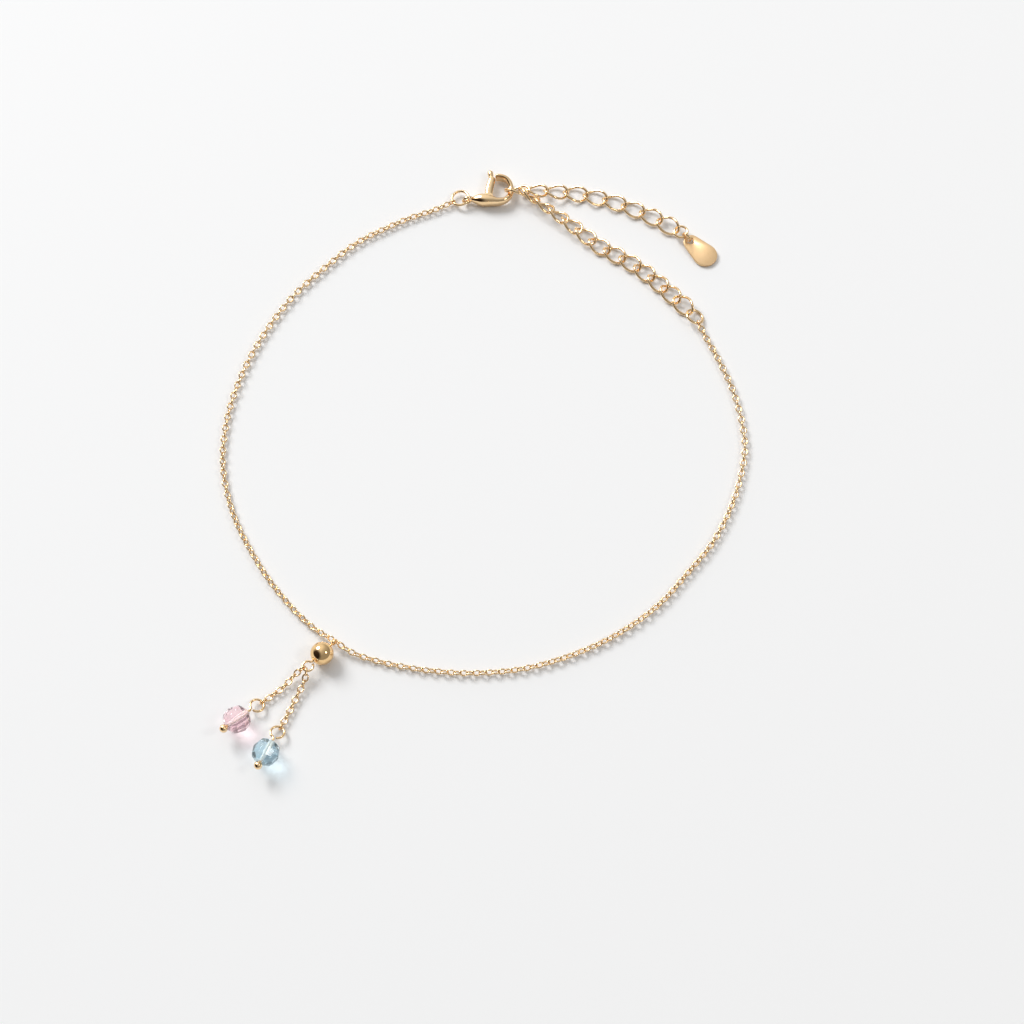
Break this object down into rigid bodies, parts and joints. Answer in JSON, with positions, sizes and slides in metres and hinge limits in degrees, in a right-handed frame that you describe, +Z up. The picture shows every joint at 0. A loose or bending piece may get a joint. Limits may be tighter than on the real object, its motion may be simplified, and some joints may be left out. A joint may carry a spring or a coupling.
{
  "type": "charm anklet",
  "caption": "Fine cable chain anklet with a lobster clasp, an extender tail with an oval tag, and a polished ball that carries two short chains with a faceted crystal each.",
  "frame": {"origin": "under the middle of the anklet's overall box, at the height of the surface that it lies on", "axes": "+Z up from the surface, +Y towards the clasp, +X towards the extender's free tail"},
  "size_m": [0.0856, 0.108, 0.004],
  "materials": {
    "gold_plated_brass": "polished gold plating",
    "pink_crystal": "polished, clear pale pink",
    "blue_crystal": "polished, clear light blue"
  },
  "bodies": {
    "anklet": {"clasp_body": "gold_plated_brass", "clasp_ring": "gold_plated_brass", "chain_link_clasp_end": "gold_plated_brass", "chain_left": "gold_plated_brass", "chain_link_centre": "gold_plated_brass", "chain_right": "gold_plated_brass", "chain_link_extender_end": "gold_plated_brass", "extender_ring": "gold_plated_brass", "extender_link_01": "gold_plated_brass", "extender_link_02": "gold_plated_brass", "extender_link_03": "gold_plated_brass", "extender_link_04": "gold_plated_brass", "extender_link_05": "gold_plated_brass", "extender_link_06": "gold_plated_brass", "extender_link_07": "gold_plated_brass", "extender_link_08": "gold_plated_brass", "extender_link_09": "gold_plated_brass", "extender_link_10": "gold_plated_brass", "extender_link_11": "gold_plated_brass", "extender_link_12": "gold_plated_brass", "extender_link_hooked": "gold_plated_brass", "tail_link_01": "gold_plated_brass", "tail_link_02": "gold_plated_brass", "tail_link_03": "gold_plated_brass", "tail_link_04": "gold_plated_brass", "tail_link_05": "gold_plated_brass", "tail_link_06": "gold_plated_brass", "tail_link_07": "gold_plated_brass", "tail_link_08": "gold_plated_brass", "tail_ring": "gold_plated_brass", "tag_ring": "gold_plated_brass", "tag": "gold_plated_brass", "ball_bead": "gold_plated_brass", "ball_pin": "gold_plated_brass", "short_chain_pink": "gold_plated_brass", "short_chain_blue": "gold_plated_brass", "headpin_pink": "gold_plated_brass", "headpin_blue": "gold_plated_brass", "crystal_pink": "pink_crystal", "crystal_blue": "blue_crystal"},
    "lever": {"clasp_lever": "gold_plated_brass"}
  },
  "joints": [
    {"name": "clasp_lever_hinge", "type": "hinge", "parent": "anklet", "child": "lever", "pos_m": [0.00062, 0.04865, 0.00115], "axis": [0, 0, 1], "range_deg": [0, 18], "stiffness_Nm_per_rad": 0.0002, "springref_deg": -11.46}
  ]
}
